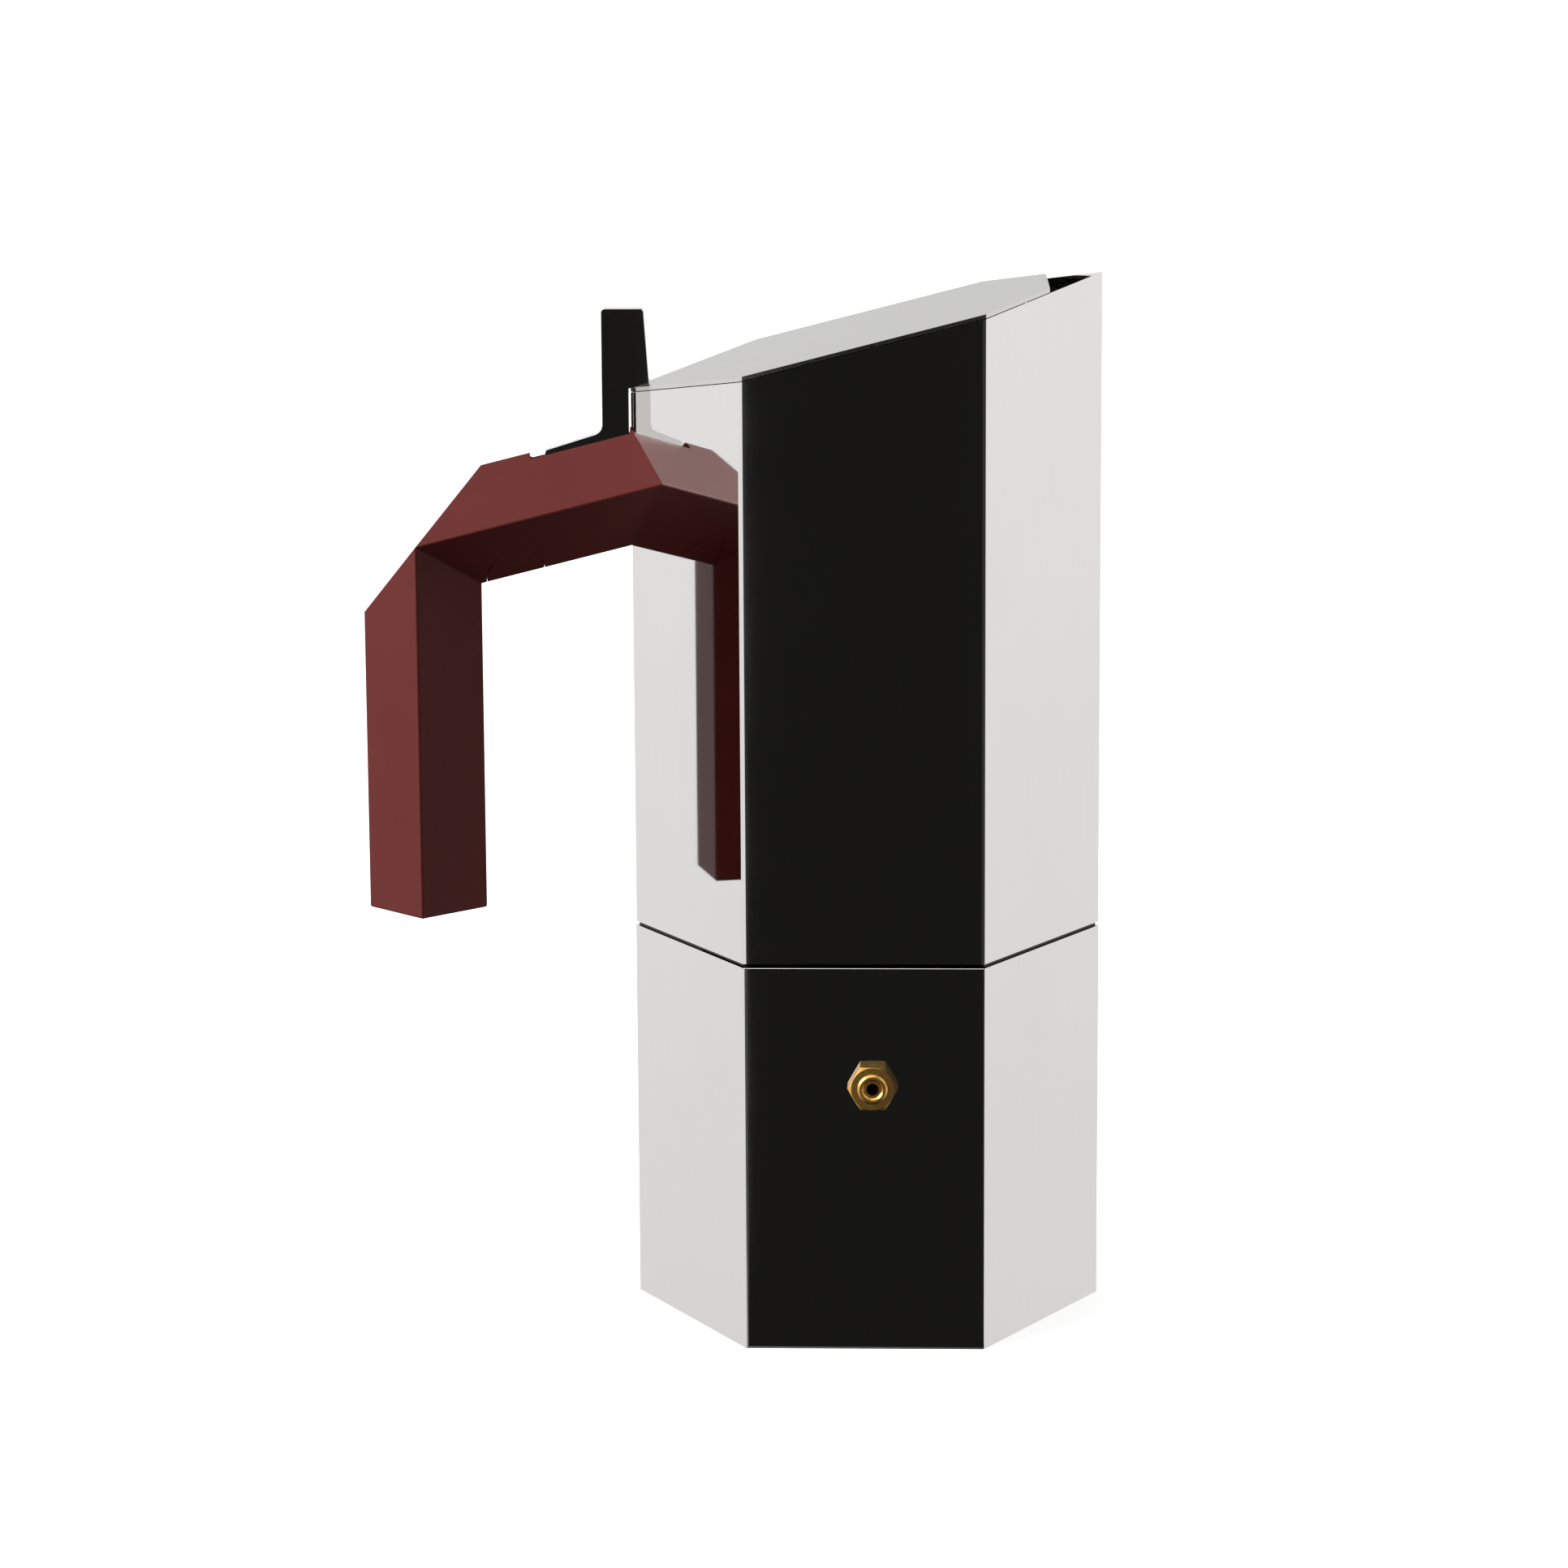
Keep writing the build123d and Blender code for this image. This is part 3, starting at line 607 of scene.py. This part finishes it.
class MOKA_OT_threads(bpy.types.Operator):
    """Cut the screw thread on the boiler's neck and in the jug's skirt"""

    bl_idname = "moka.threads"
    bl_label = "Screw thread"

    def execute(self, context):
        sizes = context.scene.moka_sizes
        material = satin_metal("turned aluminium", linear("c6c5c2"), 0.24, 0.3 * MM)
        tree, identifiers = thread_tree(material)
        # Each ridge's root is let a little into its wall, and starts above the boiler's top face.
        let_in = 0.05 * MM
        start_rise = 1.4 * MM
        pitch = sizes.thread_pitch
        common = {
            "Turns": sizes.thread_turns, "Pitch": pitch, "Width": 0.45 * pitch,
            "Rise": BOILER_TOP + start_rise,
        }
        # The two ridges lie half a pitch apart, so each runs in the other's groove.
        male = grow("neck_thread", tree, identifiers, {
            "Radius": NECK_RADIUS - let_in, "Height": sizes.thread_height, "Start angle": 0.0, **common,
        }, material)
        female = grow("skirt_thread", tree, identifiers, {
            "Radius": NECK_RADIUS + THREAD_ROOM + let_in, "Height": -sizes.thread_height,
            "Start angle": math.pi, **common,
        }, material)
        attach(male, "boiler")
        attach(female, "jug")
        return {"FINISHED"}


def strainer_tree(material):
    """A round sheet between two heights, with a round field of holes in a hexagonal grid."""
    names = ["Radius", "Bottom", "Thickness", "Spacing", "Hole radius", "Field radius", "Hole sides"]
    tree, identifiers, given = tree_with_inputs("strainer disc", names)
    given = given.outputs
    # Hole centres: a grid with every second row moved over by half a spacing, cut to a circle.
    row_pitch = add(tree, "ShaderNodeMath", {"operation": "MULTIPLY"}, {
        0: given["Spacing"], 1: math.sin(math.radians(60)),
    })
    field = add(tree, "ShaderNodeMath", {"operation": "MULTIPLY"}, {0: given["Field radius"], 1: 2.0})
    across = add(tree, "ShaderNodeMath", {"operation": "DIVIDE"}, {
        0: field.outputs[0], 1: given["Spacing"],
    })
    along = add(tree, "ShaderNodeMath", {"operation": "DIVIDE"}, {
        0: field.outputs[0], 1: row_pitch.outputs[0],
    })
    columns = add(tree, "ShaderNodeMath", {"operation": "ROUND"}, {0: across.outputs[0]})
    rows = add(tree, "ShaderNodeMath", {"operation": "ROUND"}, {0: along.outputs[0]})
    wide = add(tree, "ShaderNodeMath", {"operation": "MULTIPLY"}, {
        0: columns.outputs[0], 1: given["Spacing"],
    })
    deep = add(tree, "ShaderNodeMath", {"operation": "MULTIPLY"}, {
        0: rows.outputs[0], 1: row_pitch.outputs[0],
    })
    columns_and_one = add(tree, "ShaderNodeMath", {"operation": "ADD"}, {0: columns.outputs[0], 1: 1.0})
    rows_and_one = add(tree, "ShaderNodeMath", {"operation": "ADD"}, {0: rows.outputs[0], 1: 1.0})
    grid = add(tree, "GeometryNodeMeshGrid", inputs={
        "Size X": wide.outputs[0], "Size Y": deep.outputs[0],
        "Vertices X": columns_and_one.outputs[0], "Vertices Y": rows_and_one.outputs[0],
    })
    index = add(tree, "GeometryNodeInputIndex")
    # A grid's points are numbered up each column, so the row is the remainder.
    row = add(tree, "ShaderNodeMath", {"operation": "MODULO"}, {
        0: index.outputs[0], 1: rows_and_one.outputs[0],
    })
    odd = add(tree, "ShaderNodeMath", {"operation": "MODULO"}, {0: row.outputs[0], 1: 2.0})
    half = add(tree, "ShaderNodeMath", {"operation": "MULTIPLY"}, {0: given["Spacing"], 1: 0.5})
    moved = add(tree, "ShaderNodeMath", {"operation": "MULTIPLY"}, {0: odd.outputs[0], 1: half.outputs[0]})
    offset = add(tree, "ShaderNodeCombineXYZ", inputs={"X": moved.outputs[0]})
    staggered = add(tree, "GeometryNodeSetPosition", inputs={
        "Geometry": grid.outputs[0], "Offset": offset.outputs[0],
    })
    place = add(tree, "GeometryNodeInputPosition")
    reach = add(tree, "ShaderNodeVectorMath", {"operation": "LENGTH"}, {0: place.outputs[0]})
    inside = add(tree, "FunctionNodeCompare", {"operation": "LESS_THAN"}, {
        "A": reach.outputs["Value"], "B": given["Field radius"],
    })
    sides = add(tree, "ShaderNodeMath", {"operation": "ROUND"}, {0: given["Hole sides"]})
    hole = add(tree, "GeometryNodeCurvePrimitiveCircle", {"mode": "RADIUS"}, {
        "Resolution": sides.outputs[0], "Radius": given["Hole radius"],
    })
    holes = add(tree, "GeometryNodeInstanceOnPoints", inputs={
        "Points": staggered.outputs[0], "Selection": inside.outputs[0], "Instance": hole.outputs[0],
    })
    rim_sides = 128
    rim = add(tree, "GeometryNodeCurvePrimitiveCircle", {"mode": "RADIUS"}, {
        "Resolution": rim_sides, "Radius": given["Radius"],
    })
    outline = add(tree, "GeometryNodeJoinGeometry")
    tree.links.new(holes.outputs[0], outline.inputs[0])
    tree.links.new(rim.outputs[0], outline.inputs[0])
    curves = add(tree, "GeometryNodeRealizeInstances", inputs={"Geometry": outline.outputs[0]})
    sheet = add(tree, "GeometryNodeFillCurve", inputs={"Curve": curves.outputs[0]})
    raised = add(tree, "ShaderNodeCombineXYZ", inputs={"Z": given["Thickness"]})
    upper = add(tree, "GeometryNodeExtrudeMesh", {"mode": "FACES"}, {
        "Mesh": sheet.outputs[0], "Offset": raised.outputs[0], "Offset Scale": 1.0, "Individual": False,
    })
    lower = add(tree, "GeometryNodeFlipFaces", inputs={"Mesh": sheet.outputs[0]})
    both = add(tree, "GeometryNodeJoinGeometry")
    tree.links.new(lower.outputs[0], both.inputs[0])
    tree.links.new(upper.outputs[0], both.inputs[0])
    join_distance = 0.001 * MM
    closed = add(tree, "GeometryNodeMergeByDistance", inputs={
        "Geometry": both.outputs[0], "Distance": join_distance,
    })
    flat = add(tree, "GeometryNodeSetShadeSmooth", inputs={
        "Geometry": closed.outputs[0], "Shade Smooth": False,
    })
    lift = add(tree, "ShaderNodeCombineXYZ", inputs={"Z": given["Bottom"]})
    placed = add(tree, "GeometryNodeTransform", inputs={
        "Geometry": flat.outputs[0], "Translation": lift.outputs[0],
    })
    close_tree(tree, placed.outputs[0], material)
    return tree, identifiers


class MOKA_OT_strainers(bpy.types.Operator):
    """Punch the holes of the filter plate and of the funnel's sieve"""

    bl_idname = "moka.strainers"
    bl_label = "Strainer discs"

    def execute(self, context):
        sizes = context.scene.moka_sizes
        material = satin_metal("punched aluminium sheet", linear("cfcecb"), 0.3, 0.4 * MM)
        tree, identifiers = strainer_tree(material)
        for name, node, body, field_radius in (
            ("perforated_filter_plate", "filter_plate", "filter", 26 * MM),
            ("perforated_funnel_sieve", "funnel_sieve", "boiler", 30 * MM),
        ):
            bottom, top = low(node), high(node)
            disc = grow(name, tree, identifiers, {
                "Radius": top.x, "Bottom": bottom.z, "Thickness": top.z - bottom.z,
                "Spacing": sizes.hole_spacing, "Hole radius": sizes.hole_diameter / 2,
                "Field radius": field_radius, "Hole sides": float(sizes.hole_sides),
            }, material)
            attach(disc, body)
            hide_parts(node)
        return {"FINISHED"}


# ---------------------------------------------------------------- stage
def plane(name, corners):
    """A flat four-cornered sheet that belongs to the stage."""
    mesh = bpy.data.meshes.new(name)
    mesh.from_pydata([Vector(c) for c in corners], [], [(0, 1, 2, 3)])
    sheet = bpy.data.objects.new(name, mesh)
    bpy.context.scene.collection.objects.link(sheet)
    return sheet


def area_light(name, place, towards, size, power, colour):
    light = bpy.data.lights.new(name, "AREA")
    light.shape = "RECTANGLE"
    light.size, light.size_y = size
    light.energy = power
    light.color = colour[:3]
    holder = bpy.data.objects.new(name, light)
    holder.location = place
    holder.rotation_euler = (Vector(towards) - Vector(place)).to_track_quat("-Z", "Y").to_euler()
    bpy.context.scene.collection.objects.link(holder)


def build_world():
    world = bpy.data.worlds.new("studio")
    world.use_nodes = True
    tree = world.node_tree
    tree.nodes.clear()
    rays = add(tree, "ShaderNodeLightPath")
    direction = add(tree, "ShaderNodeTexCoord")
    parts = add(tree, "ShaderNodeSeparateXYZ", inputs={"Vector": direction.outputs["Generated"]})
    # What polished metal sees: a white room that is a little darker towards the floor, and dark
    # straight up and straight down.
    seen = add(tree, "ShaderNodeMapRange", inputs={
        "Value": parts.outputs["Z"], "From Min": -1.0, "From Max": 1.0,
    })
    room = add(tree, "ShaderNodeValToRGB", inputs={"Fac": seen.outputs[0]})
    set_stops(room, [
        (0.05, 0.02), (0.16, 0.5), (0.36, 0.88), (0.475, 1.0),
        (0.53, 0.65), (0.6, 0.65), (0.7, 0.95), (0.88, 0.85), (0.97, 0.22),
    ])
    # The front of the room is in the dark, from just left of the camera to well right of it.
    dark_turn = math.radians(34)
    towards = add(tree, "ShaderNodeVectorMath", {"operation": "DOT_PRODUCT"}, {
        0: direction.outputs["Generated"], 1: (math.sin(dark_turn), -math.cos(dark_turn), 0.0),
    })
    ahead = add(tree, "ShaderNodeMapRange", {"interpolation_type": "SMOOTHSTEP"}, {
        "Value": towards.outputs["Value"], "From Min": 0.66, "From Max": 0.82,
        "To Min": 1.0, "To Max": 0.04,
    })
    room = add(tree, "ShaderNodeMix", {"data_type": "RGBA", "blend_type": "MULTIPLY"}, {
        "Factor": 1.0, "A": room.outputs[0], "B": ahead.outputs[0],
    })
    # What lights dull surfaces: a weak even glow from above, since the lamps do the rest.
    glow = add(tree, "ShaderNodeValToRGB", inputs={"Fac": seen.outputs[0]})
    set_stops(glow, [(0.45, 0.05), (0.6, 0.22)])
    glossy_or_dull = add(tree, "ShaderNodeMix", {"data_type": "RGBA"}, {
        "Factor": rays.outputs["Is Glossy Ray"], "A": glow.outputs[0], "B": room.outputs["Result"],
    })
    shown = add(tree, "ShaderNodeMix", {"data_type": "RGBA"}, {
        "Factor": rays.outputs["Is Camera Ray"], "A": glossy_or_dull.outputs["Result"], "B": grey(1.0),
    })
    background = add(tree, "ShaderNodeBackground", inputs={
        "Color": shown.outputs["Result"], "Strength": 1.05,
    })
    add(tree, "ShaderNodeOutputWorld", inputs={"Surface": background.outputs[0]})
    bpy.context.scene.world = world


def build_floor():
    reach = 6.0
    floor = plane("floor", [(-reach, -reach, 0), (reach, -reach, 0), (reach, reach, 0), (-reach, reach, 0)])
    material, tree = new_material("white painted board")
    dull = add(tree, "ShaderNodeBsdfDiffuse", inputs={"Color": grey(0.8)})
    # Painted shade and light: the board glows less within a few centimetres of the pot's foot, which leaves
    # a painted contact shadow there, and glows fully further out, which paints over the shadow that the
    # lamps cast.
    place = add(tree, "ShaderNodeTexCoord")
    away = add(tree, "ShaderNodeVectorMath", {"operation": "LENGTH"}, {0: place.outputs["Object"]})
    glow = add(tree, "ShaderNodeMapRange", {"interpolation_type": "SMOOTHSTEP"}, {
        "Value": away.outputs["Value"], "From Min": 0.045, "From Max": 0.1, "To Min": 0.7, "To Max": 1.0,
    })
    lift = add(tree, "ShaderNodeEmission", inputs={"Color": grey(1.0), "Strength": glow.outputs[0]})
    both = add(tree, "ShaderNodeAddShader", inputs={0: dull.outputs[0], 1: lift.outputs[0]})
    finish_material(tree, both)
    floor.data.materials.append(material)
    # The board lights nothing and shows in nothing: the world stands for what it would send back.
    floor.visible_diffuse = False
    floor.visible_glossy = False


def build_flags():
    """Black cloth in front of the pot, seen only in its polished faces."""
    material, tree = new_material("black flock cloth")
    finish_material(tree, add(tree, "ShaderNodeEmission", inputs={
        "Color": linear("1c1c1b"), "Strength": 1.0,
    }))
    camera = bpy.context.scene.moka_studio.camera_place

    def spread(x, distance):
        """Where a line from the mirrored camera through x on the front face has got to."""
        return camera[0] + (x - camera[0]) * (1 + distance / (FRONT_Y - camera[1]))

    # One cloth lies on the floor in front of the pot, and ends in an upright one.
    cloth_reach = 1.12
    foot, top = -0.3, 0.6
    clear_of_floor, clear_of_pot = 0.4 * MM, 0.2 * MM
    left, right = -HEX_SIDE / 2 + 0.6 * MM, HEX_SIDE / 2 + 3 * MM
    near_left, near_right = spread(left, 0), spread(right, 0)
    far_left, far_right = spread(left, cloth_reach), spread(right, cloth_reach)
    near_y, far_y = FRONT_Y - clear_of_pot, FRONT_Y - cloth_reach
    strip = plane("flag_strip", [
        (near_left, near_y, clear_of_floor), (near_right, near_y, clear_of_floor),
        (far_right, far_y, clear_of_floor), (far_left, far_y, clear_of_floor),
    ])
    back = plane("flag_back", [
        (far_left, far_y, foot), (far_right, far_y, foot), (far_right, far_y, top), (far_left, far_y, top),
    ])
    # The third one darkens the lever's side. Its edges lie this many times as far from the camera's
    # middle plane as the lever's own.
    left_spread, right_spread = 2.2, 1.95
    lever_left = camera[0] + (low("thumb_lever").x - camera[0]) * left_spread
    lever_right = camera[0] + (high("thumb_lever").x + 1 * MM - camera[0]) * right_spread
    side = plane("flag_side", [
        (lever_left, far_y, foot), (lever_right, far_y, foot),
        (lever_right, far_y, top), (lever_left, far_y, top),
    ])
    for sheet in (strip, back, side):
        sheet.data.materials.append(material)
        sheet.visible_camera = False
        sheet.visible_shadow = False
        sheet.visible_diffuse = False
        sheet.visible_transmission = False
        sheet.visible_volume_scatter = False


def build_camera():
    studio = bpy.context.scene.moka_studio
    yaw, pitch, roll = studio.camera_turn
    forward = Vector((
        math.sin(yaw) * math.cos(pitch), math.cos(yaw) * math.cos(pitch), -math.sin(pitch),
    ))
    level = Vector((math.cos(yaw), -math.sin(yaw), 0.0))
    upward = level.cross(forward)
    right = level * math.cos(roll) + upward * math.sin(roll)
    above = upward * math.cos(roll) - level * math.sin(roll)
    data = bpy.data.cameras.new("camera")
    data.sensor_width = 36.0
    data.lens = studio.lens
    data.clip_start = 0.01
    data.clip_end = 50.0
    camera = bpy.data.objects.new("camera", data)
    camera.matrix_world = Matrix((right, above, -forward)).transposed().to_4x4()
    camera.location = studio.camera_place
    bpy.context.scene.collection.objects.link(camera)
    bpy.context.scene.camera = camera


class MOKA_OT_stage(bpy.types.Operator):
    """Set up the floor, the studio light, the black flags and the camera"""

    bl_idname = "moka.stage"
    bl_label = "Studio"

    def execute(self, context):
        scene = context.scene
        scene.view_settings.view_transform = "Standard"
        scene.view_settings.look = "None"
        build_world()
        build_floor()
        build_flags()
        build_camera()
        studio = scene.moka_studio
        middle = (0.0, 0.0, 0.12)
        white = grey(1.0)
        area_light("side_light", (-1.4, -0.65, 0.85), middle, (1.0, 1.2), studio.side_light, white)
        area_light("top_light", (-0.25, -0.1, 1.7), middle, (1.3, 1.3), studio.top_light, white)
        return {"FINISHED"}


# ---------------------------------------------------------------- panel
STEPS = (
    MOKA_OT_vessel,
    MOKA_OT_lid,
    MOKA_OT_inside,
    MOKA_OT_valve,
    MOKA_OT_fixings,
    MOKA_OT_handle,
    MOKA_OT_seals,
    MOKA_OT_threads,
    MOKA_OT_strainers,
    MOKA_OT_stage,
)


class MOKA_PT_panel(bpy.types.Panel):
    """Lists the steps that finish the pot"""

    bl_idname = "MOKA_PT_panel"
    bl_label = "Moka pot"
    bl_space_type = "VIEW_3D"
    bl_region_type = "UI"
    bl_category = "Moka pot"

    def draw(self, context):
        for step in STEPS:
            self.layout.operator(step.bl_idname)
        for group in ("moka_finishes", "moka_sizes", "moka_studio"):
            settings = getattr(context.scene, group)
            for name in settings.__annotations__:
                self.layout.prop(settings, name)


GROUPS = {"moka_finishes": MokaFinishes, "moka_sizes": MokaSizes, "moka_studio": MokaStudio}


def register():
    for kind in (*GROUPS.values(), *STEPS, MOKA_PT_panel):
        bpy.utils.register_class(kind)
    for name, kind in GROUPS.items():
        setattr(bpy.types.Scene, name, PointerProperty(type=kind))


def unregister():
    for name in GROUPS:
        delattr(bpy.types.Scene, name)
    for kind in reversed((*GROUPS.values(), *STEPS, MOKA_PT_panel)):
        bpy.utils.unregister_class(kind)


def main():
    register()
    for step in STEPS:
        group, call = step.bl_idname.split(".")
        result = getattr(getattr(bpy.ops, group), call)()
        if result != {"FINISHED"}:
            raise RuntimeError(step.bl_label + " didn't finish")


if __name__ == "__main__":
    main()
